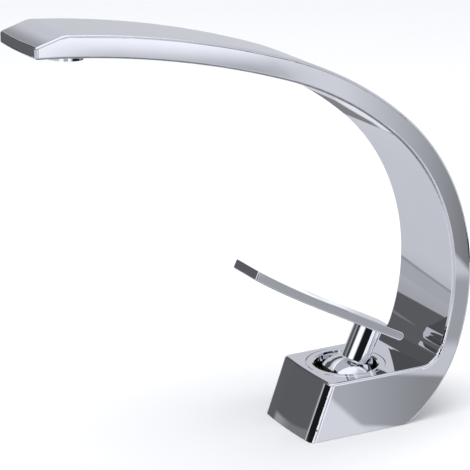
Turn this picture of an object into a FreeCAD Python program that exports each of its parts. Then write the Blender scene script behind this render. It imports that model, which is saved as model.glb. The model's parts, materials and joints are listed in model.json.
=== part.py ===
"""Single-lever basin faucet, in millimetres.

A cast ribbon leans back from the base, swings over and runs out into a flat spout. A lever on a ball
foot works a ceramic mixing cartridge in the base, and an aerator closes the spout.
The origin lies on the deck under the cartridge axis, with +Z up and the spout reaching towards -Y.
"""
import FreeCAD, Part
import math
import os

Vector = FreeCAD.Vector
X_AXIS = Vector(1, 0, 0)
Y_AXIS = Vector(0, 1, 0)
Z_AXIS = Vector(0, 0, 1)

# Clearances
THREAD_GAP = 0.1        # radial, between screwed or pushed-in pieces
SEAL_GAP = 0.05         # round a seal in its groove
RUNNING_GAP = 0.06      # radial, between a turning piece and its bore
MOVING_GAP = 0.3        # between pieces that move past each other
DISC_FILM = 0.02        # film of grease between the ceramic discs
CUT = 1.0               # how far a cutting tool runs past a face

# Plan of the casting
BASE_WIDTH = 44.4
TIP_TAPER = 4.4                 # how much narrower it is at the end of the spout
TIP_BOW = 0.9                   # how far the end face swells forward
EDGE_RADIUS = 1.3
TIP_CORNER_MARGIN = 0.3         # how much rounder than an edge the spout's front corners are

# Base of the casting
BASE_HEIGHT = 27.8
FRONT_LIP = 3.15                # top of the front, past the cover ring
FRONT_BOW = 1.0                 # how far the front swells forward
FRONT_SLOPE = 10.2              # how far the foot stands in front of the top edge
BASE_CORNER_RADIUS = 2.8        # upright front corners
HEEL_LIP = 3.05                 # where the back leaves the deck, past the cover ring
ROOT_RADIUS = 10.5              # hollow between the base and the column

# Ribbon: its outer side is a chain of tangent arcs, each with a radius and a turn in degrees
RIBBON_THICKNESS = 10.1
HEEL_HEADING = 33.4             # degrees up from the deck, where the back leaves it
HEEL_RADIUS = 68.3
HEEL_TURN = 38.8
COLUMN_RADIUS = 109.0
COLUMN_TURN = 67.6
CROWN_RADIUS = 174.5
CROWN_TURN = 22.0
SPOUT_RADIUS = 445.0
SPOUT_LENGTH = 125.5            # arc length of the last stretch
NOSE_LENGTH = 13.8              # slope down at the end of the spout
NOSE_RADIUS = 10.0              # soft crease where the slope starts
TIP_HEIGHT = 5.0                # of the end face

# Waterway inside the ribbon
ROOF_WALL = 2.4                 # between the outer side and the channel
SIDE_WALL = 5.0                 # beside the channel, at the end of the spout
CHANNEL_DEPTH = 3.3
CHANNEL_START = 8.6             # degrees of the heel's turn before the channel
DUCT_WIDTH = 16.0               # from the cartridge chamber to the channel
DUCT_HEIGHT = 4.0
DUCT_RISE = 0.8                 # above the inlet block
DUCT_REACH = 6.1                # from over the heel's edge to the duct's far end

# Aerator
AERATOR_SETBACK = 22.0          # from the end face to its axis
AERATOR_RADIUS = 9.4
AERATOR_PROUD = 3.3             # rim below the spout
THROAT_RADIUS = 7.0
WASHER_THICKNESS = 0.6
CAGE_WALL = 1.7
CAGE_LEDGE_WIDTH = 0.8
CAGE_LEDGE_HEIGHT = 0.8
INSERT_HEIGHT = 4.9
INSERT_HOLE_RADIUS = 0.8
INSERT_HOLE_PITCH = 2.6
SCREEN_THICKNESS = 0.4
SCREEN_HOLE = 1.4
SCREEN_PITCH = 2.2
SCREEN_ROOM = 0.4               # between the screen and the washer

# Inlet block in the base
LEDGE_HEIGHT = 3.0              # ledge of the casting that carries the block
LEDGE_WIDTH = 2.2
BLOCK_FLANGE = 4.2
INLET_RADIUS = 4.5              # M10x1 hose thread, at its core
INLET_DEPTH = 6.0
INLET_ADVANCE = 1.0             # of the inlets, towards the front
STUD_RADIUS = 2.5               # M6 fixing stud, at its core
STUD_DEPTH = 6.0
STUD_WALL = 1.6                 # between the stud and the rim of the block
BLOCK_SEAL_HEIGHT = 1.4
BLOCK_SEAL_WIDTH = 1.3

# Seal under the base
GASKET_LAND = 3.3               # between the opening and the ring
GASKET_WIDTH = 1.8
GASKET_HEIGHT = 1.3

# Cartridge
CHAMBER_GAP = 0.8               # ring of water round the cartridge
FOOT_THICKNESS = 1.8
PORT_SEAL_WIDTH = 1.2
PORT_SEAL_HEIGHT = 1.0
OUTLET_SLOT_DEPTH = 1.0
PEG_RADIUS = 1.0
PEG_HEIGHT = 1.0
FIXED_DISC_THICKNESS = 1.6
MOVING_DISC_THICKNESS = 1.4
MIXING_POCKET_DEPTH = 0.7
DOG_RADIUS = 0.9                # pins that key the moving disc to its driver
DOG_HEIGHT = 0.8
DRIVER_THICKNESS = 2.2
BALL_RADIUS = 1.3
BALL_GAP = 0.2
STEM_ARM = 3.0                  # pivot to the ball that pushes the discs
STEM_NECK_RADIUS = 0.9
STEM_REACH = 7.7                # ball foot to the top of the stem
PIN_RADIUS = 1.2
ROTOR_FLANGE_WIDTH = 1.3
ROTOR_FLANGE_HEIGHT = 1.2
ROTOR_RISE = 3.7                # pivot to the rotor's top
RAIL_WIDTH = 1.6                # rails that turn the driver
RAIL_LIFT = 0.4                 # above the moving disc
CUP_HEIGHT = 3.8                # wide lower part of the housing
HOUSING_WALL = 1.5
HOUSING_SEAL_WIDTH = 1.2
HOUSING_SEAL_HEIGHT = 1.2
HOUSING_SEAL_DROP = 0.5         # below the top of the cup
NUT_THICKNESS = 2.2
NUT_SLOT_WIDTH = 3.0
NUT_SLOT_DEPTH = 1.2
NUT_SLOT_COUNT = 4

# Cover ring on the base
RING_LIP = 2.85                 # strip of the casting left beside the ring
RING_WIDTH = 3.95
RING_THICKNESS = 2.5
RING_GROOVE = 0.25              # line that shows round the ring
RING_INNER_CHAMFER = 0.8
RING_OUTER_CHAMFER = 0.2

# Lever, standing upright when closed, here leaning back as far as it opens
OPEN_ANGLE = 24.5
DOME_GAP = 0.6                  # between the ball foot and the chamber wall
DOME_WALL = 1.4
DOME_RIM_GAP = 0.4              # between the rim and the nut, leaning back
LEVER_RISE = 30.1               # pivot to the underside of the blade
BLADE_WIDTH = 22.0
BLADE_FRONT = 77.4              # post axis to the front end
BLADE_REAR = 12.0
BLADE_THICKNESS = 4.2           # at the post
BLADE_TOP_PITCH = 3.15          # degrees, rising towards the front
BLADE_UNDER_PITCH = 2.95
BLADE_BEND = 38.0               # post axis to where the blade starts to curl up
BLADE_CURL_RADIUS = 440.0
BLADE_EDGE_RADIUS = 0.6
BLADE_CORNER_MARGIN = 0.3       # how much rounder than an edge the blade's front corners are
SET_SCREW_RADIUS = 2.0
SET_SCREW_RECESS = 0.4          # below the back of the post
SET_SCREW_RISE = 4.2            # ball foot to its axis
HEX_KEY = 2.0                   # across the flats
HEX_DEPTH = 1.5

# Heights of the stack in the base, from the deck up
BLOCK_TOP = LEDGE_HEIGHT + BLOCK_FLANGE
FOOT_TOP = BLOCK_TOP + FOOT_THICKNESS
FIXED_TOP = FOOT_TOP + FIXED_DISC_THICKNESS
MOVING_LOW = FIXED_TOP + DISC_FILM
MOVING_TOP = MOVING_LOW + MOVING_DISC_THICKNESS
DRIVER_TOP = MOVING_TOP + DRIVER_THICKNESS
PIVOT_HEIGHT = MOVING_TOP + BALL_GAP + BALL_RADIUS + STEM_ARM
ROTOR_LOW = DRIVER_TOP + MOVING_GAP
ROTOR_SHOULDER = ROTOR_LOW + ROTOR_FLANGE_HEIGHT
ROTOR_TOP = PIVOT_HEIGHT + ROTOR_RISE
CUP_TOP = FOOT_TOP + CUP_HEIGHT
NUT_TOP = CUP_TOP + NUT_THICKNESS
RING_LOW = BASE_HEIGHT - RING_THICKNESS

# Plan of the casting, as it follows from the width of the base; depths are from the cartridge axis
TIP_WIDTH = BASE_WIDTH - TIP_TAPER
CHANNEL_WIDTH = TIP_WIDTH - 2 * SIDE_WALL
TIP_CORNER_RADIUS = EDGE_RADIUS + TIP_CORNER_MARGIN
RING_RADIUS = BASE_WIDTH / 2 - RING_LIP
BASE_TOP_DEPTH = RING_RADIUS + FRONT_LIP
BASE_FOOT_DEPTH = BASE_TOP_DEPTH + FRONT_SLOPE
HEEL_DEPTH = RING_RADIUS + HEEL_LIP
DUCT_DEPTH = HEEL_DEPTH + DUCT_REACH
CHAMBER_RADIUS = RING_RADIUS - RING_WIDTH
CARTRIDGE_RADIUS = CHAMBER_RADIUS - CHAMBER_GAP

# Cartridges come in several widths, so what lies across one is a share of its radius
FIXED_DISC_RADIUS = 0.75 * CARTRIDGE_RADIUS
MOVING_DISC_RADIUS = 0.51 * CARTRIDGE_RADIUS
MIXING_POCKET_RADIUS = 0.36 * CARTRIDGE_RADIUS
DOG_SPREAD = 0.29 * CARTRIDGE_RADIUS
DRIVER_RADIUS = 0.49 * CARTRIDGE_RADIUS
DRIVER_WIDTH = 0.82 * CARTRIDGE_RADIUS
RAIL_LENGTH = 0.6 * CARTRIDGE_RADIUS
ROTOR_RADIUS = 0.54 * CARTRIDGE_RADIUS
STEM_SIDE = 0.41 * CARTRIDGE_RADIUS
POST_RADIUS = 0.48 * CARTRIDGE_RADIUS
PORT_RADIUS = 0.15 * CARTRIDGE_RADIUS
PORT_SPREAD = 0.425 * CARTRIDGE_RADIUS
PORT_ADVANCE = 0.14 * CARTRIDGE_RADIUS
OUTLET_WIDTH = 0.48 * CARTRIDGE_RADIUS
OUTLET_LENGTH = 0.25 * CARTRIDGE_RADIUS
OUTLET_SETBACK = 0.465 * CARTRIDGE_RADIUS
PEG_SPREAD = 0.66 * CARTRIDGE_RADIUS
PEG_SETBACK = 0.34 * CARTRIDGE_RADIUS

# Sizes that follow from the fits; heights of the aerator are from the underside of the spout
SPIGOT_RADIUS = CHAMBER_RADIUS - LEDGE_WIDTH
BLOCK_RADIUS = SPIGOT_RADIUS - THREAD_GAP
INLET_SPREAD = BLOCK_RADIUS / 2
STUD_SETBACK = BLOCK_RADIUS - STUD_WALL - STUD_RADIUS
GASKET_RADIUS = SPIGOT_RADIUS + GASKET_LAND + GASKET_WIDTH / 2
ROTOR_FLANGE_RADIUS = ROTOR_RADIUS + ROTOR_FLANGE_WIDTH
DOME_RADIUS = CHAMBER_RADIUS - DOME_GAP
STEM_RISE = DOME_RADIUS + STEM_REACH
BLADE_CORNER_RADIUS = BLADE_EDGE_RADIUS + BLADE_CORNER_MARGIN
SET_SCREW_HEIGHT = DOME_RADIUS + SET_SCREW_RISE
SET_SCREW_LENGTH = POST_RADIUS - STEM_SIDE / 2 - SET_SCREW_RECESS
ROTOR_BORE_RADIUS = ROTOR_RADIUS + RUNNING_GAP
FLANGE_BORE_RADIUS = ROTOR_FLANGE_RADIUS + MOVING_GAP
SOCKET_RADIUS = AERATOR_RADIUS + THREAD_GAP
INSERT_RADIUS = AERATOR_RADIUS - CAGE_WALL - THREAD_GAP
INSERT_LOW = CAGE_LEDGE_HEIGHT - AERATOR_PROUD
INSERT_TOP = INSERT_LOW + INSERT_HEIGHT
SOCKET_DEPTH = INSERT_TOP + SCREEN_THICKNESS + SCREEN_ROOM + WASHER_THICKNESS
STEM_BOSS_RADIUS = PIVOT_HEIGHT - DRIVER_TOP - MOVING_GAP

PIVOT = Vector(0, 0, PIVOT_HEIGHT)
# The ball trails the lean of the lever, so the discs stand this far forward while it is open
DISC_SHIFT = Vector(0, -STEM_ARM * math.sin(math.radians(OPEN_ANGLE)), 0)


def cylinder(radius, low, high, x=0.0, y=0.0):
    """Upright cylinder between two heights."""
    return Part.makeCylinder(radius, high - low, Vector(x, y, low), Z_AXIS)


def ring(outer, inner, low, high, x=0.0, y=0.0):
    """Upright tube between two heights."""
    return cylinder(outer, low, high, x, y).cut(cylinder(inner, low - CUT, high + CUT, x, y))


def block(x_size, y_low, y_high, z_low, z_high):
    """Box centred across X."""
    return Part.makeBox(x_size, y_high - y_low, z_high - z_low, Vector(-x_size / 2, y_low, z_low))


def revolve(points):
    """Solid of revolution about Z from an outline of (radius, height) points."""
    corners = [Vector(radius, 0, height) for radius, height in points]
    outline = Part.makePolygon(corners + corners[:1])
    return Part.Face(outline).revolve(Vector(), Z_AXIS, 360)


def extrude_across(edges, width):
    """Prism of an outline in the YZ plane, centred across X."""
    face = Part.Face(Part.Wire(Part.__sortEdges__(edges)))
    face.translate(Vector(-width / 2, 0, 0))
    return face.extrude(Vector(width, 0, 0))


def line(start, end):
    return Part.LineSegment(start, end).toShape()


def arc(start, middle, end):
    return Part.Arc(start, middle, end).toShape()


def fuse(first, *others):
    return first.multiFuse(list(others)).removeSplitter()


def cut(first, *tools):
    result = first
    for tool in tools:
        result = result.cut(tool)
    return result


def sharp_edges(solid, least_turn=20.0):
    """Edges where two faces meet at more than a small angle."""
    found = []
    for edge in solid.Edges:
        faces = solid.ancestorsOfType(edge, Part.Face)
        if len(faces) != 2:
            continue
        middle = edge.valueAt((edge.FirstParameter + edge.LastParameter) / 2)
        normals = [face.normalAt(*face.Surface.parameter(middle)) for face in faces]
        if math.degrees(normals[0].getAngle(normals[1])) > least_turn:
            found.append(edge)
    return found


def edges_near(solid, test):
    """Edges whose middle passes a test."""
    return [edge for edge in solid.Edges if test(edge.CenterOfMass)]


def upright_edges(solid, y, x_least):
    """Edges that run upwards at one Y, away from the middle plane."""
    corners = edges_near(solid, lambda point: abs(point.y - y) < CUT and abs(point.x) > x_least)
    return [edge for edge in corners if abs(edge.tangentAt(edge.FirstParameter).z) > 0.9]


def heading(angle):
    """Unit direction in the YZ plane, at an angle up from +Y."""
    return Vector(0, math.cos(math.radians(angle)), math.sin(math.radians(angle)))


def outward(angle):
    """Unit normal on the outer side of the ribbon where it runs at this heading."""
    return heading(angle - 90)


def make_sweep():
    """Arcs of the ribbon's outer side as (centre, radius, first heading, last heading)."""
    stretches = [
        (HEEL_RADIUS, HEEL_TURN),
        (COLUMN_RADIUS, COLUMN_TURN),
        (CROWN_RADIUS, CROWN_TURN),
        (SPOUT_RADIUS, math.degrees(SPOUT_LENGTH / SPOUT_RADIUS)),
    ]
    start = Vector(0, HEEL_DEPTH, 0)
    first = HEEL_HEADING
    arcs = []
    for radius, turn in stretches:
        last = first + turn
        centre = start - outward(first) * radius
        arcs.append((centre, radius, first, last))
        start = centre + outward(last) * radius
        first = last
    return arcs


SWEEP = make_sweep()
END_HEADING = SWEEP[-1][3]
NOSE_HEADING = END_HEADING - math.degrees(NOSE_LENGTH / SPOUT_RADIUS)
AERATOR_HEADING = END_HEADING - math.degrees(AERATOR_SETBACK / SPOUT_RADIUS)
CHANNEL_HEADING = HEEL_HEADING + CHANNEL_START


def on_ribbon(angle, depth):
    """Point at a heading along the ribbon and a depth in from its outer side."""
    for centre, radius, first, last in SWEEP:
        if angle <= last:
            break
    return centre + outward(angle) * (radius - depth)


def ribbon_run(depth, low, high):
    """Arcs along the ribbon at one depth, between two headings."""
    edges = []
    for centre, radius, first, last in SWEEP:
        start = max(first, low)
        end = min(last, high)
        if start < end:
            reach = radius - depth
            angles = (start, (start + end) / 2, end)
            edges.append(arc(*[centre + outward(angle) * reach for angle in angles]))
    return edges


def root_heading():
    """Heading of the column's inner side where it meets the top of the base."""
    centre, radius, first, last = SWEEP[0]
    rise = (centre.z - BASE_HEIGHT) / (radius - RIBBON_THICKNESS)
    return math.degrees(math.acos(rise))


def tip_points():
    """Lower and upper edge of the end face, in the middle plane."""
    under = on_ribbon(END_HEADING, RIBBON_THICKNESS)
    return under, under + outward(END_HEADING) * TIP_HEIGHT


def side_prism():
    """Base, column and spout as seen from the side, run past the front and the end face."""
    foot = Vector(0, -BASE_FOOT_DEPTH - CUT, 0)
    top = Vector(0, -BASE_TOP_DEPTH - CUT, BASE_HEIGHT)
    root = on_ribbon(root_heading(), RIBBON_THICKNESS)
    under_tip, over_tip = tip_points()
    crease = on_ribbon(NOSE_HEADING, 0)
    slope = over_tip - crease
    over_end = over_tip + slope * (2 * TIP_BOW / NOSE_LENGTH)
    under_end = under_tip + heading(END_HEADING) * 2 * TIP_BOW
    edges = [
        line(Vector(0, HEEL_DEPTH, 0), foot),
        line(foot, top),
        line(top, root),
        line(under_tip, under_end),
        line(under_end, over_end),
        line(over_end, crease),
    ]
    edges += ribbon_run(RIBBON_THICKNESS, root_heading(), END_HEADING)
    edges += ribbon_run(0, HEEL_HEADING, NOSE_HEADING)
    return extrude_across(edges, 2 * BASE_WIDTH)


def plan_prism():
    """Sides that draw together towards the end face, and its bow, as seen from above."""
    back_y = on_ribbon(90, 0).y + CUT
    tip_y = max(point.y for point in tip_points())
    top_z = on_ribbon(min(END_HEADING, 180), 0).z + CUT
    shoulder_y = tip_y + TIP_BOW
    slant = TIP_TAPER / (-BASE_FOOT_DEPTH - shoulder_y)
    back_width = BASE_WIDTH + slant * (back_y + BASE_FOOT_DEPTH)
    sides = []
    for side in (1, -1):
        back_corner = Vector(side * back_width / 2, back_y, 0)
        sides.append(line(back_corner, Vector(side * TIP_WIDTH / 2, shoulder_y, 0)))
    back = line(Vector(-back_width / 2, back_y, 0), Vector(back_width / 2, back_y, 0))
    tip = arc(
        Vector(-TIP_WIDTH / 2, shoulder_y, 0),
        Vector(0, tip_y, 0),
        Vector(TIP_WIDTH / 2, shoulder_y, 0),
    )
    outline = Part.Wire(Part.__sortEdges__(sides + [back, tip]))
    prism = Part.Face(outline).extrude(Z_AXIS * (top_z + CUT))
    prism.translate(Vector(0, 0, -CUT))
    return prism.makeFillet(TIP_CORNER_RADIUS, upright_edges(prism, shoulder_y, TIP_WIDTH / 4))


def front_trim():
    """Cutting tool that leaves the front of the base bowed across."""
    lean = Vector(0, FRONT_SLOPE, BASE_HEIGHT)
    inward = Vector(0, BASE_HEIGHT, -FRONT_SLOPE) / lean.Length
    bow_radius = (BASE_WIDTH / 2) ** 2 / (2 * FRONT_BOW) + FRONT_BOW / 2
    start = Vector(0, -BASE_FOOT_DEPTH, 0) + inward * bow_radius - lean
    drum = Part.makeCylinder(bow_radius, 3 * lean.Length, start, lean)
    front = block(2 * BASE_WIDTH, -BASE_FOOT_DEPTH - 2 * CUT, 0, -CUT, BASE_HEIGHT + CUT)
    return front.cut(drum)


def casting_blank():
    """The rounded outer form, with no hollows; its foot stays sharp where it meets the deck."""
    solid = side_prism()
    crease = on_ribbon(NOSE_HEADING, 0)
    root = on_ribbon(root_heading(), RIBBON_THICKNESS)
    for point, radius in ((root, ROOT_RADIUS), (crease, NOSE_RADIUS)):
        solid = solid.makeFillet(radius, edges_near(solid, lambda middle: middle.isEqual(point, 0.01)))
    solid = solid.common(plan_prism()).cut(front_trim())
    corner_y = FRONT_BOW - (BASE_FOOT_DEPTH + BASE_TOP_DEPTH) / 2
    solid = solid.makeFillet(BASE_CORNER_RADIUS, upright_edges(solid, corner_y, BASE_WIDTH / 4))
    edges = [edge for edge in sharp_edges(solid) if edge.BoundBox.ZMax > CUT]
    return solid.makeFillet(EDGE_RADIUS, edges)


def in_spout(shape):
    """Moves a shape from the deck to the underside of the spout, on the aerator's axis."""
    place = on_ribbon(AERATOR_HEADING, RIBBON_THICKNESS)
    shape.Placement = FreeCAD.Placement(place, FreeCAD.Rotation(X_AXIS, AERATOR_HEADING - 180))
    return shape


def waterway():
    """Channel along the ribbon, with the duct that feeds it."""
    end = AERATOR_HEADING + math.degrees(THROAT_RADIUS / SPOUT_RADIUS)
    floor_depth = ROOF_WALL + CHANNEL_DEPTH
    edges = ribbon_run(ROOF_WALL, CHANNEL_HEADING, end) + ribbon_run(floor_depth, CHANNEL_HEADING, end)
    for angle in (CHANNEL_HEADING, end):
        edges.append(line(on_ribbon(angle, ROOF_WALL), on_ribbon(angle, floor_depth)))
    channel = extrude_across(edges, CHANNEL_WIDTH)
    duct_low = BLOCK_TOP + DUCT_RISE
    return channel, block(DUCT_WIDTH, 0, DUCT_DEPTH, duct_low, duct_low + DUCT_HEIGHT)


def body_casting():
    socket = in_spout(cylinder(SOCKET_RADIUS, -2 * CUT, SOCKET_DEPTH))
    throat = in_spout(cylinder(THROAT_RADIUS, 0, RIBBON_THICKNESS - ROOF_WALL - CHANNEL_DEPTH / 2))
    half = GASKET_WIDTH / 2 + SEAL_GAP
    groove = ring(GASKET_RADIUS + half, GASKET_RADIUS - half, -CUT, GASKET_HEIGHT + SEAL_GAP)
    return cut(
        casting_blank(),
        cylinder(CHAMBER_RADIUS, LEDGE_HEIGHT, BASE_HEIGHT + CUT),
        cylinder(SPIGOT_RADIUS, -CUT, LEDGE_HEIGHT + CUT),
        cylinder(RING_RADIUS, RING_LOW, BASE_HEIGHT + CUT),
        groove,
        *waterway(),
        socket,
        throat,
    )


def inlet_block():
    """Brass block with the hose threads, the stud thread and the seat of the cartridge."""
    solid = fuse(
        cylinder(BLOCK_RADIUS, 0, LEDGE_HEIGHT),
        cylinder(CHAMBER_RADIUS - THREAD_GAP, LEDGE_HEIGHT, BLOCK_TOP),
    )
    tools = [cylinder(STUD_RADIUS, -CUT, STUD_DEPTH, 0, STUD_SETBACK), block_seal_space(SEAL_GAP)]
    for side in (1, -1):
        tools += [
            cylinder(INLET_RADIUS, -CUT, INLET_DEPTH, side * INLET_SPREAD, -INLET_ADVANCE),
            cylinder(PORT_RADIUS, INLET_DEPTH - CUT, BLOCK_TOP + CUT, side * PORT_SPREAD, -PORT_ADVANCE),
            cylinder(PEG_RADIUS + THREAD_GAP, BLOCK_TOP - PEG_HEIGHT - THREAD_GAP, BLOCK_TOP + CUT,
                     side * PEG_SPREAD, PEG_SETBACK),
        ]
    return cut(solid, *tools)


def block_seal_space(gap):
    """Ring round the block's flange: the seal itself, or its groove with a gap."""
    middle = (LEDGE_HEIGHT + BLOCK_TOP) / 2
    half = BLOCK_SEAL_HEIGHT / 2 + gap
    outer = CHAMBER_RADIUS - SEAL_GAP
    return ring(outer + gap, outer - BLOCK_SEAL_WIDTH - gap, middle - half, middle + half)


def base_gasket():
    half = GASKET_WIDTH / 2
    return ring(GASKET_RADIUS + half, GASKET_RADIUS - half, 0, GASKET_HEIGHT)


def port_seal_rings(gap):
    """Seals under the cartridge, one round each port: the rings, or their grooves with a gap."""
    rings = []
    for side in (1, -1):
        inner = PORT_RADIUS + PORT_SEAL_WIDTH / 4
        rings.append(ring(inner + PORT_SEAL_WIDTH + gap, inner - gap, BLOCK_TOP,
                          BLOCK_TOP + PORT_SEAL_HEIGHT + gap, side * PORT_SPREAD, -PORT_ADVANCE))
    return rings


def port_seals():
    return Part.makeCompound(port_seal_rings(0))


def cartridge_foot():
    """Bottom plate of the cartridge: ports from below, and a slot that lets mixed water out at the back."""
    pegs = [cylinder(PEG_RADIUS, BLOCK_TOP - PEG_HEIGHT, FOOT_TOP, side * PEG_SPREAD, PEG_SETBACK)
            for side in (1, -1)]
    solid = fuse(cylinder(CARTRIDGE_RADIUS, BLOCK_TOP, FOOT_TOP), *pegs)
    slot_low = FOOT_TOP - OUTLET_SLOT_DEPTH
    slot_start = OUTLET_SETBACK - OUTLET_LENGTH / 2
    slot = block(OUTLET_WIDTH, slot_start, CARTRIDGE_RADIUS + CUT, slot_low, FOOT_TOP + CUT)
    ports = [cylinder(PORT_RADIUS, BLOCK_TOP - CUT, FOOT_TOP + CUT, side * PORT_SPREAD, -PORT_ADVANCE)
             for side in (1, -1)]
    return cut(solid, slot, *ports, *port_seal_rings(SEAL_GAP))


def fixed_disc():
    """Ceramic disc with the inlet ports and the outlet window."""
    solid = cylinder(FIXED_DISC_RADIUS, FOOT_TOP, FIXED_TOP)
    window_start = OUTLET_SETBACK - OUTLET_LENGTH / 2
    window_end = OUTLET_SETBACK + OUTLET_LENGTH / 2
    window = block(OUTLET_WIDTH, window_start, window_end, FOOT_TOP - CUT, FIXED_TOP + CUT)
    ports = [cylinder(PORT_RADIUS, FOOT_TOP - CUT, FIXED_TOP + CUT, side * PORT_SPREAD, -PORT_ADVANCE)
             for side in (1, -1)]
    return cut(solid, window, *ports)


def dogs(gap):
    """Pins between the driver and the moving disc: the pins, or their holes with a gap."""
    return [cylinder(DOG_RADIUS + gap, MOVING_TOP - DOG_HEIGHT - gap, MOVING_TOP + CUT, 0, side * DOG_SPREAD)
            for side in (1, -1)]


def moving_disc():
    """Ceramic disc that slides over the ports, with a pocket where the water mixes."""
    pocket = cylinder(MIXING_POCKET_RADIUS, MOVING_LOW - CUT, MOVING_LOW + MIXING_POCKET_DEPTH)
    pocket = pocket.cut(Part.makeCompound(dogs(DOG_RADIUS)))
    solid = cylinder(MOVING_DISC_RADIUS, MOVING_LOW, MOVING_TOP)
    return cut(solid, pocket, *dogs(THREAD_GAP)).translated(DISC_SHIFT)


def disc_driver():
    """Plate on the moving disc, with the hole that the stem's ball pushes."""
    plate = cylinder(DRIVER_RADIUS, MOVING_TOP, DRIVER_TOP)
    plate = plate.common(block(DRIVER_WIDTH, -DRIVER_RADIUS, DRIVER_RADIUS, MOVING_TOP, DRIVER_TOP))
    plate = fuse(plate, *dogs(0))
    plate = plate.cut(cylinder(BALL_RADIUS + BALL_GAP, MOVING_TOP - CUT, DRIVER_TOP + CUT))
    return plate.translated(DISC_SHIFT)


def stem_rotor():
    """Turret that turns with the lever, carries its pin and turns the driver between two rails."""
    solid = fuse(
        cylinder(ROTOR_FLANGE_RADIUS, ROTOR_LOW, ROTOR_SHOULDER),
        cylinder(ROTOR_RADIUS, ROTOR_SHOULDER, ROTOR_TOP),
    )
    rail_low = MOVING_TOP + RAIL_LIFT
    rail_inner = DRIVER_WIDTH / 2 + MOVING_GAP
    rails = block(2 * (rail_inner + RAIL_WIDTH), -RAIL_LENGTH / 2, RAIL_LENGTH / 2, rail_low, ROTOR_LOW)
    rails = rails.cut(block(2 * rail_inner, -RAIL_LENGTH, RAIL_LENGTH, rail_low - CUT, ROTOR_LOW + CUT))
    lean = math.tan(math.radians(OPEN_ANGLE))
    half_stem = STEM_SIDE / 2 / math.cos(math.radians(OPEN_ANGLE))
    slot_back = half_stem + ROTOR_RISE * lean + MOVING_GAP
    slot_front = -STEM_SIDE / 2 - MOVING_GAP
    slot = block(STEM_SIDE + 2 * MOVING_GAP, slot_front, slot_back, ROTOR_LOW - CUT, ROTOR_TOP + CUT)
    return cut(fuse(solid, rails), slot, pin_bar(PIN_RADIUS + SEAL_GAP, 2 * ROTOR_RADIUS + CUT))


def pin_bar(radius, length):
    """Bar along X through the pivot."""
    return Part.makeCylinder(radius, length, PIVOT - X_AXIS * (length / 2), X_AXIS)


def stem_pin():
    return pin_bar(PIN_RADIUS, 2 * (ROTOR_RADIUS - MOVING_GAP))


def housing_seal_space(gap):
    """Ring round the housing's cup: the seal itself, or its groove with a gap."""
    high = CUP_TOP - HOUSING_SEAL_DROP + gap
    low = CUP_TOP - HOUSING_SEAL_DROP - HOUSING_SEAL_HEIGHT - gap
    outer = CHAMBER_RADIUS - SEAL_GAP
    return ring(outer + gap, CARTRIDGE_RADIUS - HOUSING_SEAL_WIDTH - gap, low, high)


def cartridge_housing():
    """Plastic shell of the cartridge: a wide cup over the discs and a neck round the rotor."""
    disc_bore = FIXED_DISC_RADIUS + THREAD_GAP
    disc_roof = FIXED_TOP + SEAL_GAP
    shoulder = ROTOR_SHOULDER + THREAD_GAP
    flange_wall = FLANGE_BORE_RADIUS + HOUSING_WALL
    neck_wall = ROTOR_BORE_RADIUS + HOUSING_WALL
    solid = revolve([
        (disc_bore, FOOT_TOP),
        (CARTRIDGE_RADIUS, FOOT_TOP),
        (CARTRIDGE_RADIUS, CUP_TOP),
        (flange_wall, CUP_TOP),
        (flange_wall, shoulder + HOUSING_WALL),
        (neck_wall, shoulder + HOUSING_WALL),
        (neck_wall, ROTOR_TOP),
        (ROTOR_BORE_RADIUS, ROTOR_TOP),
        (ROTOR_BORE_RADIUS, shoulder),
        (FLANGE_BORE_RADIUS, shoulder),
        (FLANGE_BORE_RADIUS, disc_roof),
        (disc_bore, disc_roof),
    ])
    return solid.cut(housing_seal_space(SEAL_GAP))


def cartridge_nut():
    """Screwed ring that clamps the cartridge down, slotted for its spanner."""
    inner = FLANGE_BORE_RADIUS + HOUSING_WALL + THREAD_GAP
    solid = ring(CHAMBER_RADIUS - THREAD_GAP, inner, CUP_TOP, NUT_TOP)
    for index in range(NUT_SLOT_COUNT):
        slot = block(NUT_SLOT_WIDTH, 0, CHAMBER_RADIUS + CUT, NUT_TOP - NUT_SLOT_DEPTH, NUT_TOP + CUT)
        slot.rotate(Vector(), Z_AXIS, 360 * (index + 0.5) / NUT_SLOT_COUNT)
        solid = solid.cut(slot)
    return solid


def cover_ring():
    """Flat trim ring let into the top of the base."""
    outer = RING_RADIUS - RING_GROOVE
    return revolve([
        (CHAMBER_RADIUS, RING_LOW),
        (outer, RING_LOW),
        (outer, BASE_HEIGHT - RING_OUTER_CHAMFER),
        (outer - RING_OUTER_CHAMFER, BASE_HEIGHT),
        (CHAMBER_RADIUS + RING_INNER_CHAMFER, BASE_HEIGHT),
        (CHAMBER_RADIUS, BASE_HEIGHT - RING_INNER_CHAMFER),
    ])


def leaning(shape):
    """Leans an upright piece of the lever back to where it stands open."""
    shape.rotate(PIVOT, X_AXIS, -OPEN_ANGLE)
    return shape


def stem():
    """Square stem on the pin, with the small ball that pushes the discs."""
    side = STEM_SIDE
    shank = block(side, -side / 2, side / 2, PIVOT_HEIGHT, PIVOT_HEIGHT + STEM_RISE)
    boss = pin_bar(STEM_BOSS_RADIUS, side)
    neck = cylinder(STEM_NECK_RADIUS, PIVOT_HEIGHT - STEM_ARM, PIVOT_HEIGHT)
    ball = Part.makeSphere(BALL_RADIUS, Vector(0, 0, PIVOT_HEIGHT - STEM_ARM))
    solid = fuse(shank, boss, neck, ball)
    return leaning(solid.cut(pin_bar(PIN_RADIUS + RUNNING_GAP, side + CUT)))


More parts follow.
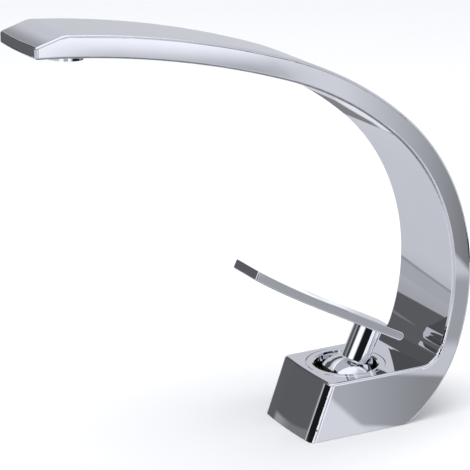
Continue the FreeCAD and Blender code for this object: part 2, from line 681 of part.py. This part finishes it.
def dome_cap():
    """Ball foot of the lever: a shell round the pivot that covers the chamber as the lever leans."""
    rim_drop = math.asin((PIVOT_HEIGHT - NUT_TOP - DOME_RIM_GAP) / DOME_RADIUS)
    half_angle = math.radians(90 - OPEN_ANGLE) + rim_drop
    directions = [Vector(math.sin(angle), 0, math.cos(angle)) for angle in (0, half_angle / 2, half_angle)]
    outside = [PIVOT + direction * DOME_RADIUS for direction in directions]
    inside = [PIVOT + direction * (DOME_RADIUS - DOME_WALL) for direction in directions]
    outline = Part.Wire([
        arc(*outside),
        line(outside[-1], inside[-1]),
        arc(*reversed(inside)),
        line(inside[0], outside[0]),
    ])
    shell = Part.Face(outline).revolve(PIVOT, Z_AXIS, 360)
    hole = STEM_SIDE / math.sqrt(2) + MOVING_GAP
    return leaning(shell.cut(cylinder(hole, PIVOT_HEIGHT, PIVOT_HEIGHT + 2 * DOME_RADIUS)))


def blade_edge(rise, pitch):
    """Line and tangent arc along the blade, seen from the side, from the rear to the front end."""
    slope = math.radians(pitch)
    start = Vector(0, BLADE_REAR, PIVOT_HEIGHT + rise - BLADE_REAR * math.tan(slope))
    bend = Vector(0, -BLADE_BEND, PIVOT_HEIGHT + rise + BLADE_BEND * math.tan(slope))
    last = math.asin(math.sin(slope) + (BLADE_FRONT - BLADE_BEND) / BLADE_CURL_RADIUS)
    centre = bend + Vector(0, math.sin(slope), math.cos(slope)) * BLADE_CURL_RADIUS
    curl = [centre - Vector(0, math.sin(angle), math.cos(angle)) * BLADE_CURL_RADIUS
            for angle in (slope, (slope + last) / 2, last)]
    return start, curl


def lever_blade():
    """Long thin paddle, curling up towards its front end and rounded at its rear."""
    low_start, low_curl = blade_edge(LEVER_RISE, BLADE_UNDER_PITCH)
    high_start, high_curl = blade_edge(LEVER_RISE + BLADE_THICKNESS, BLADE_TOP_PITCH)
    rear = (low_start + high_start) * 0.5 + Y_AXIS * ((high_start.z - low_start.z) / 2)
    edges = [
        line(low_start, low_curl[0]),
        arc(*low_curl),
        line(low_curl[-1], high_curl[-1]),
        arc(*high_curl),
        line(high_curl[0], high_start),
        arc(high_start, rear, low_start),
    ]
    solid = extrude_across(edges, BLADE_WIDTH)
    solid = solid.makeFillet(BLADE_CORNER_RADIUS, upright_edges(solid, -BLADE_FRONT, BLADE_WIDTH / 4))
    return leaning(solid.makeFillet(BLADE_EDGE_RADIUS, sharp_edges(solid)))


def lever_post():
    """Round post between the ball foot and the blade, with the socket of the stem and its set screw hole."""
    low_start, low_curl = blade_edge(LEVER_RISE, BLADE_UNDER_PITCH)
    front = low_curl[0]
    below = extrude_across([
        line(low_start, front),
        line(front, Vector(0, front.y, 0)),
        line(Vector(0, front.y, 0), Vector(0, low_start.y, 0)),
        line(Vector(0, low_start.y, 0), low_start),
    ], BLADE_WIDTH)
    solid = cylinder(POST_RADIUS, PIVOT_HEIGHT, PIVOT_HEIGHT + LEVER_RISE + BLADE_THICKNESS).common(below)
    half = STEM_SIDE / 2 + SEAL_GAP
    socket_top = PIVOT_HEIGHT + STEM_RISE + SEAL_GAP
    socket = block(2 * half, -half, half, PIVOT_HEIGHT, socket_top)
    ball_seat = Part.makeSphere(DOME_RADIUS + DISC_FILM, PIVOT)
    return leaning(cut(solid, ball_seat, socket, screw_bar(SET_SCREW_RADIUS + SEAL_GAP, POST_RADIUS)))


def screw_bar(radius, length):
    """Bar from the back of the stem towards the back of the post."""
    start = PIVOT + Vector(0, STEM_SIDE / 2, SET_SCREW_HEIGHT)
    return Part.makeCylinder(radius, length, start, Y_AXIS)


def set_screw():
    """Headless screw with a hexagon socket, against the back of the stem."""
    solid = screw_bar(SET_SCREW_RADIUS, SET_SCREW_LENGTH)
    centre = PIVOT + Vector(0, STEM_SIDE / 2 + SET_SCREW_LENGTH, SET_SCREW_HEIGHT)
    reach = HEX_KEY / math.sqrt(3)
    corners = []
    for index in range(6):
        angle = math.radians(60 * index)
        corners.append(centre + Vector(reach * math.cos(angle), 0, reach * math.sin(angle)))
    key = Part.Face(Part.makePolygon(corners + corners[:1])).extrude(Y_AXIS * -HEX_DEPTH)
    return leaning(solid.cut(key))


def aerator_cage():
    """Screwed ring in the spout, with a ledge that holds the insert."""
    inner = AERATOR_RADIUS - CAGE_WALL
    ledge = inner - CAGE_LEDGE_WIDTH
    top = SOCKET_DEPTH - WASHER_THICKNESS
    return in_spout(revolve([
        (ledge, -AERATOR_PROUD),
        (AERATOR_RADIUS, -AERATOR_PROUD),
        (AERATOR_RADIUS, top),
        (inner, top),
        (inner, CAGE_LEDGE_HEIGHT - AERATOR_PROUD),
        (ledge, CAGE_LEDGE_HEIGHT - AERATOR_PROUD),
    ]))


def grid_places(pitch, reach):
    """Places of a hexagonal pattern inside a circle."""
    places = []
    rows = int(reach / (pitch * math.sqrt(3) / 2)) + 1
    columns = int(reach / pitch) + 1
    for row in range(-rows, rows + 1):
        for column in range(-columns, columns + 1):
            x = (column + 0.5 * (row % 2)) * pitch
            y = row * pitch * math.sqrt(3) / 2
            if math.hypot(x, y) <= reach:
                places.append((x, y))
    return places


def aerator_insert():
    """Plastic flow straightener, pierced by a honeycomb of small holes."""
    reach = INSERT_RADIUS - CAGE_LEDGE_WIDTH - 2 * INSERT_HOLE_RADIUS
    holes = [cylinder(INSERT_HOLE_RADIUS, INSERT_LOW - CUT, INSERT_TOP + CUT, x, y)
             for x, y in grid_places(INSERT_HOLE_PITCH, reach)]
    return in_spout(cylinder(INSERT_RADIUS, INSERT_LOW, INSERT_TOP).cut(Part.makeCompound(holes)))


def aerator_screen():
    """Thin screen over the insert that catches grit."""
    high = INSERT_TOP + SCREEN_THICKNESS
    gaps = []
    for x, y in grid_places(SCREEN_PITCH, INSERT_RADIUS - SCREEN_PITCH):
        gap = Part.makeBox(SCREEN_HOLE, SCREEN_HOLE, SCREEN_THICKNESS + 2 * CUT)
        gap.translate(Vector(x - SCREEN_HOLE / 2, y - SCREEN_HOLE / 2, INSERT_TOP - CUT))
        gaps.append(gap)
    return in_spout(cylinder(INSERT_RADIUS, INSERT_TOP, high).cut(Part.makeCompound(gaps)))


def aerator_washer():
    low = SOCKET_DEPTH - WASHER_THICKNESS
    return in_spout(ring(AERATOR_RADIUS - THREAD_GAP, THROAT_RADIUS + THREAD_GAP, low, SOCKET_DEPTH))


NODES = {
    "body_casting": body_casting,
    "inlet_block": inlet_block,
    "block_oring": lambda: block_seal_space(0),
    "base_gasket": base_gasket,
    "cover_ring": cover_ring,
    "cartridge_nut": cartridge_nut,
    "cartridge_housing": cartridge_housing,
    "housing_oring": lambda: housing_seal_space(0),
    "cartridge_foot": cartridge_foot,
    "port_seals": port_seals,
    "fixed_disc": fixed_disc,
    "moving_disc": moving_disc,
    "disc_driver": disc_driver,
    "stem_rotor": stem_rotor,
    "stem_pin": stem_pin,
    "stem": stem,
    "dome_cap": dome_cap,
    "lever_post": lever_post,
    "lever_blade": lever_blade,
    "set_screw": set_screw,
    "aerator_cage": aerator_cage,
    "aerator_insert": aerator_insert,
    "aerator_screen": aerator_screen,
    "aerator_washer": aerator_washer,
}

os.makedirs("parts", exist_ok=True)
for name, make in NODES.items():
    shape = make()
    shape.exportStep(f"parts/{name}.step")
    box = shape.BoundBox
    print(f"{name}: {len(shape.Solids)} solids, {shape.Volume:.1f} mm3, valid {shape.isValid()}, "
          f"y {box.YMin:.1f} to {box.YMax:.1f}, z {box.ZMin:.1f} to {box.ZMax:.1f}")
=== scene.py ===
import json
import math
from collections import namedtuple

import bpy
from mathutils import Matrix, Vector

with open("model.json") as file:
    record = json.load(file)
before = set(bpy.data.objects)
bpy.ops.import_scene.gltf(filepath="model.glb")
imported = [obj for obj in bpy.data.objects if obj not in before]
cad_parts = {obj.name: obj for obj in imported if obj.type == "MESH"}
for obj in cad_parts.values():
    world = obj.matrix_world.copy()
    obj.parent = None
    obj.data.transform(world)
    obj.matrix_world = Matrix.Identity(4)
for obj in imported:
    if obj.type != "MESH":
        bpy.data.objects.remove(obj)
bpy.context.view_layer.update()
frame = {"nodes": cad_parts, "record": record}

scene = bpy.context.scene

# Camera at the photograph's viewing angle, in metres, with lens and sensor in millimetres
CAMERA_PLACE = Vector((0.7972, -0.4866, 0.3844))
CAMERA_TARGET = Vector((0.0012, -0.0609, 0.1012))
CAMERA_LENS = 158.56
SENSOR_WIDTH = 36.0

# Pale floor, soft light from above and backdrop, in metres and watts
FLOOR_SIZE = 12.0
FLOOR_DROP = 0.0002             # below the deck plane
FLOOR_COLOUR = (0.93, 0.92, 0.90)
FLOOR_ROUGHNESS = 0.9
OVERHEAD_PLACE = Vector((0.1, -0.2, 1.6))
OVERHEAD_SIZE = 1.4
OVERHEAD_POWER = 14.0
BACKDROP_COLOUR = (0.93, 0.93, 0.94)

# Drift and relief that all materials of the faucet share, with the scale per metre
DRIFT_SCALE = 60.0
DRIFT_DETAIL = 3.0
DRIFT_SPAN = (0.3, 0.7)         # values of the drift between which the roughness changes
GRAIN_DETAIL = 4.0
RELIEF_STRENGTH = 0.3
EVEN = (1.0, 1.0, 1.0)          # grain that is alike in all directions
TURNED = (1.0, 1.0, 12.0)       # grain drawn out round the upright axis
DRAWN = (1.0, 12.0, 12.0)       # grain drawn out along the crosswise axis

# Studio that the chrome mirrors, with edges in degrees of elevation
GROUND_TONE = 0.25
GROUND_EDGE = (-56.0, -44.0)
WALL_TONE = 0.66
CEILING_EDGE = (42.0, 60.0)
CEILING_TONE = 1.15
STUDIO_TINT = (0.955, 0.975, 1.05)

# One panel of the studio, in degrees: low and high edge of its azimuth, from +X towards +Y, and of its
# elevation, softness of the azimuth's edges and of the elevation's, fall of the panel per degree of azimuth
# about its middle, and tone, which may also run between two azimuths from one tone to another
Panel = namedtuple("Panel", "azimuth elevation soft fall tone")
PANELS = [
    # Dim wall with a faint line and a step, dark flag and light strip that the base's front and the inner
    # side of the column mirror
    Panel((-154.0, -134.0), (-14.0, 6.0), (4.0, 16.0), 0.0, 0.45),
    Panel((-150.0, -140.0), (-15.7, -12.3), (0.5, 0.4), -0.93, 0.46),
    Panel((-150.0, -140.0), (-15.85, -15.35), (0.5, 0.25), -0.93, 0.35),
    Panel((-152.2, -135.8), (-5.9, 30.0), (1.2, 0.5), 0.0, 0.125),
    Panel((-152.5, -136.2), (-0.52, -0.10), (0.3, 0.12), -0.27, (-146.5, -142.5, 0.36, 0.22)),
    # Dark flags that the spout's end and the hollow of the column mirror
    Panel((-168.0, -149.0), (-17.0, 17.0), (2.0, 1.5), 0.0, 0.13),
    Panel((-178.0, -154.5), (-25.0, -15.5), (1.0, 1.0), 0.0, 0.06),
    Panel((-181.0, -150.0), (17.0, 41.0), (2.0, 2.0), 0.0, 0.10),
    Panel((155.0, 181.0), (27.0, 41.0), (2.0, 2.0), 0.0, 0.10),
    # Black flag with a light edge that the base's front corner mirrors
    Panel((-136.1, -135.85), (-8.0, 9.0), (0.15, 2.0), 0.0, 0.6),
    Panel((-135.85, -47.0), (1.5, 11.5), (0.15, 1.5), 0.0, 0.012),
    # Grey, dark and white cards that stripe the lever's post
    Panel((-135.0, -118.0), (11.5, 30.0), (3.0, 2.0), 0.0, 0.3),
    Panel((-118.0, -97.0), (11.5, 40.0), (3.0, 2.0), 0.0, 0.05),
    Panel((-89.0, -55.0), (11.0, 50.0), (4.0, 2.0), 0.0, 1.3),
    Panel((-48.0, 7.0), (-1.5, 9.3), (3.0, 1.0), 0.38, 0.012),
    Panel((-44.0, -14.0), (-11.0, 1.7), (4.0, 1.0), 0.38, 1.15),
    Panel((-14.0, 5.0), (-20.3, -7.6), (4.0, 1.0), 0.38, 0.5),
    # White card, wall that darkens away from it, and bands at table level that the near side mirrors
    Panel((7.0, 27.5), (-30.0, 6.0), (2.0, 3.0), 0.0, 1.15),
    Panel((26.5, 60.0), (-28.5, 6.75), (1.0, 0.25), 1.0, (26.8, 33.1, 1.12, 0.21)),
    Panel((21.5, 28.0), (-13.9, -12.45), (3.0, 0.8), 0.06, 0.45),
    Panel((28.5, 60.0), (-20.3, -18.45), (0.3, 0.4), 0.0, 0.41),
    Panel((29.1, 60.0), (-22.65, -21.2), (0.2, 0.15), 0.0, (29.5, 31.8, 0.47, 0.30)),
    Panel((28.0, 60.0), (-26.0, -22.65), (0.3, 0.15), 0.0, 0.74),
    Panel((20.0, 31.0), (-30.1, -19.1), (0.3, 0.25), 0.79, 0.80),
    # Dark strip that the outlet's rim mirrors
    Panel((37.0, 126.0), (-16.6, -12.9), (2.0, 0.4), 0.0, 0.02),
    # Small cards over the crown and the nose
    Panel((145.5, 150.5), (-16.5, -12.0), (1.0, 1.0), 0.0, 1.1),
    Panel((151.5, 157.5), (-26.2, -23.3), (0.5, 0.6), 1.6, 0.85),
    Panel((153.0, 159.0), (-25.7, -21.6), (0.6, 0.6), 1.6, 0.24),
    Panel((167.0, 171.0), (21.25, 25.8), (0.4, 0.8), 1.64, 0.36),
]


class Graph:
    """Adds and wires the nodes of one shader tree."""

    def __init__(self, tree):
        self.tree = tree
        tree.nodes.clear()

    def add(self, kind, **settings):
        node = self.tree.nodes.new(kind)
        for name, value in settings.items():
            setattr(node, name, value)
        return node

    def feed(self, value, socket):
        """Sets a socket to a number or colour, or links an output to it."""
        if isinstance(value, bpy.types.NodeSocket):
            self.tree.links.new(value, socket)
        else:
            socket.default_value = value

    def math(self, operation, first, second=0.0):
        node = self.add("ShaderNodeMath", operation=operation)
        self.feed(first, node.inputs[0])
        self.feed(second, node.inputs[1])
        return node.outputs[0]

    def ramp(self, value, low, high, to_low, to_high, smooth=True):
        """Number that runs from to_low to to_high while a value runs from low to high."""
        shape = "SMOOTHSTEP" if smooth else "LINEAR"
        node = self.add("ShaderNodeMapRange", interpolation_type=shape)
        for number, socket in zip((value, low, high, to_low, to_high), node.inputs):
            self.feed(number, socket)
        return node.outputs["Result"]

    def band(self, value, low, high, soft):
        """Share that is 1 between a low and a high edge and fades out over both."""
        rising = self.ramp(value, low - soft / 2, low + soft / 2, 0.0, 1.0)
        falling = self.ramp(value, high - soft / 2, high + soft / 2, 1.0, 0.0)
        return self.math("MULTIPLY", rising, falling)

    def mix(self, kind, share, first, second):
        """Value between two colours, of the kind RGBA, or two numbers, of the kind FLOAT."""
        node = self.add("ShaderNodeMix", data_type=kind)
        self.feed(share, node.inputs["Factor"])
        self.feed(first, node.inputs["A"])
        self.feed(second, node.inputs["B"])
        return node.outputs["Result"]

    def noise(self, scale, detail, stretch):
        """Noise fixed to the object, with a scale per metre."""
        place = self.add("ShaderNodeTexCoord").outputs["Object"]
        mapping = self.add("ShaderNodeMapping")
        mapping.inputs["Scale"].default_value = stretch
        self.feed(place, mapping.inputs["Vector"])
        node = self.add("ShaderNodeTexNoise")
        self.feed(mapping.outputs["Vector"], node.inputs["Vector"])
        node.inputs["Scale"].default_value = scale
        node.inputs["Detail"].default_value = detail
        return node.outputs["Fac"]

    def bump(self, height, strength, distance):
        node = self.add("ShaderNodeBump")
        node.inputs["Strength"].default_value = strength
        node.inputs["Distance"].default_value = distance
        self.feed(height, node.inputs["Height"])
        return node.outputs["Normal"]


def make_material(name):
    """New material with one surface shader, and the graph that holds it."""
    material = bpy.data.materials.new(name)
    material.use_nodes = True
    graph = Graph(material.node_tree)
    output = graph.add("ShaderNodeOutputMaterial")
    shader = graph.add("ShaderNodeBsdfPrincipled")
    graph.feed(shader.outputs["BSDF"], output.inputs["Surface"])
    return material, graph, shader


def surface(name, colours, roughness, grain, depth, metallic=0.0, stretch=EVEN):
    """Procedural material: a colour and a roughness that drift over the surface, and a fine relief."""
    material, graph, shader = make_material(name)
    drift = graph.noise(DRIFT_SCALE, DRIFT_DETAIL, EVEN)
    fine = graph.noise(grain, GRAIN_DETAIL, stretch)
    colour = graph.mix("RGBA", drift, (*colours[0], 1.0), (*colours[1], 1.0))
    graph.feed(colour, shader.inputs["Base Color"])
    graph.feed(graph.ramp(drift, *DRIFT_SPAN, *roughness), shader.inputs["Roughness"])
    graph.feed(graph.bump(fine, RELIEF_STRENGTH, depth), shader.inputs["Normal"])
    shader.inputs["Metallic"].default_value = metallic
    return material


# Materials by slot: two colours and two values of roughness to drift between, grain per metre, and depth of
# the relief in metres
MATERIALS = {
    "chrome": surface(
        "polished_chrome", colours=((0.79, 0.80, 0.82), (0.83, 0.84, 0.86)), roughness=(0.004, 0.012),
        grain=900.0, depth=0.0000003, metallic=1.0),
    "brass": surface(
        "machined_brass", colours=((0.50, 0.38, 0.18), (0.60, 0.47, 0.25)), roughness=(0.28, 0.42),
        grain=2500.0, depth=0.00003, metallic=1.0, stretch=TURNED),
    "rubber": surface(
        "moulded_rubber", colours=((0.018, 0.018, 0.018), (0.04, 0.04, 0.042)), roughness=(0.6, 0.8),
        grain=3000.0, depth=0.00004),
    "housing_plastic": surface(
        "housing_plastic", colours=((0.68, 0.69, 0.71), (0.76, 0.77, 0.78)), roughness=(0.38, 0.5),
        grain=2500.0, depth=0.00002),
    "rotor_plastic": surface(
        "rotor_plastic", colours=((0.08, 0.08, 0.085), (0.13, 0.13, 0.14)), roughness=(0.36, 0.5),
        grain=2500.0, depth=0.00002),
    "ceramic": surface(
        "lapped_ceramic", colours=((0.84, 0.82, 0.77), (0.90, 0.88, 0.84)), roughness=(0.12, 0.2),
        grain=3500.0, depth=0.00001),
    "steel": surface(
        "drawn_steel", colours=((0.5, 0.5, 0.52), (0.6, 0.6, 0.61)), roughness=(0.25, 0.36),
        grain=2500.0, depth=0.00002, metallic=1.0, stretch=DRAWN),
    "insert_plastic": surface(
        "insert_plastic", colours=((0.15, 0.155, 0.16), (0.22, 0.225, 0.23)), roughness=(0.35, 0.5),
        grain=2500.0, depth=0.00002),
}


def dress_nodes():
    """Gives each solid the material of its slot."""
    for subpart in frame["record"]["subparts"]:
        solid = frame["nodes"][subpart["node"]]
        solid.data.materials.clear()
        solid.data.materials.append(MATERIALS[subpart["material_slot"]])


def make_floor():
    """Pale floor just under the deck plane, which the chrome doesn't mirror."""
    bpy.ops.mesh.primitive_plane_add(size=FLOOR_SIZE, location=(0.0, 0.0, -FLOOR_DROP))
    floor = bpy.context.object
    floor.name = "floor"
    floor.visible_glossy = False
    material, _, shader = make_material("pale_floor")
    shader.inputs["Base Color"].default_value = (*FLOOR_COLOUR, 1.0)
    shader.inputs["Roughness"].default_value = FLOOR_ROUGHNESS
    floor.data.materials.append(material)


def make_world():
    """Studio by direction: pale all round, with dark and bright panels that the chrome mirrors."""
    world = bpy.data.worlds.new("studio")
    world.use_nodes = True
    scene.world = world
    graph = Graph(world.node_tree)
    direction = graph.add("ShaderNodeTexCoord").outputs["Generated"]
    parts = graph.add("ShaderNodeSeparateXYZ")
    graph.feed(direction, parts.inputs["Vector"])
    turn = graph.math("ARCTAN2", parts.outputs["Y"], parts.outputs["X"])
    azimuth = graph.math("MULTIPLY", turn, math.degrees(1))
    elevation = graph.math("MULTIPLY", graph.math("ARCSINE", parts.outputs["Z"]), math.degrees(1))

    tone = graph.ramp(elevation, *GROUND_EDGE, GROUND_TONE, WALL_TONE)
    tone = graph.mix("FLOAT", graph.ramp(elevation, *CEILING_EDGE, 0.0, 1.0), tone, CEILING_TONE)
    for panel in PANELS:
        offset = graph.math("SUBTRACT", azimuth, sum(panel.azimuth) / 2)
        height = graph.math("ADD", elevation, graph.math("MULTIPLY", offset, panel.fall))
        across = graph.band(azimuth, *panel.azimuth, panel.soft[0])
        upright = graph.band(height, *panel.elevation, panel.soft[1])
        shade = panel.tone
        if isinstance(shade, tuple):
            shade = graph.ramp(azimuth, *shade, smooth=False)
        tone = graph.mix("FLOAT", graph.math("MULTIPLY", across, upright), tone, shade)

    tinted = graph.add("ShaderNodeVectorMath", operation="SCALE")
    tinted.inputs[0].default_value = STUDIO_TINT
    graph.feed(tone, tinted.inputs["Scale"])
    seen = graph.add("ShaderNodeLightPath").outputs["Is Camera Ray"]
    colour = graph.mix("RGBA", seen, tinted.outputs["Vector"], (*BACKDROP_COLOUR, 1.0))
    background = graph.add("ShaderNodeBackground")
    graph.feed(colour, background.inputs["Color"])
    output = graph.add("ShaderNodeOutputWorld")
    graph.feed(background.outputs["Background"], output.inputs["Surface"])


def place_and_aim(name, data, place):
    """Adds a lamp or camera at a place, turned towards the camera's target."""
    thing = bpy.data.objects.new(name, data)
    thing.location = place
    thing.rotation_mode = "QUATERNION"
    thing.rotation_quaternion = (CAMERA_TARGET - place).to_track_quat("-Z", "Y")
    scene.collection.objects.link(thing)
    return thing


def make_overhead():
    data = bpy.data.lights.new("overhead", "AREA")
    data.shape = "DISK"
    data.size = OVERHEAD_SIZE
    data.energy = OVERHEAD_POWER
    light = place_and_aim("overhead", data, OVERHEAD_PLACE)
    light.visible_glossy = False
    light.visible_camera = False


def make_camera():
    data = bpy.data.cameras.new("camera")
    data.sensor_width = SENSOR_WIDTH
    data.lens = CAMERA_LENS
    scene.camera = place_and_aim("camera", data, CAMERA_PLACE)


scene.view_settings.view_transform = "Standard"
dress_nodes()
make_floor()
make_world()
make_overhead()
make_camera()
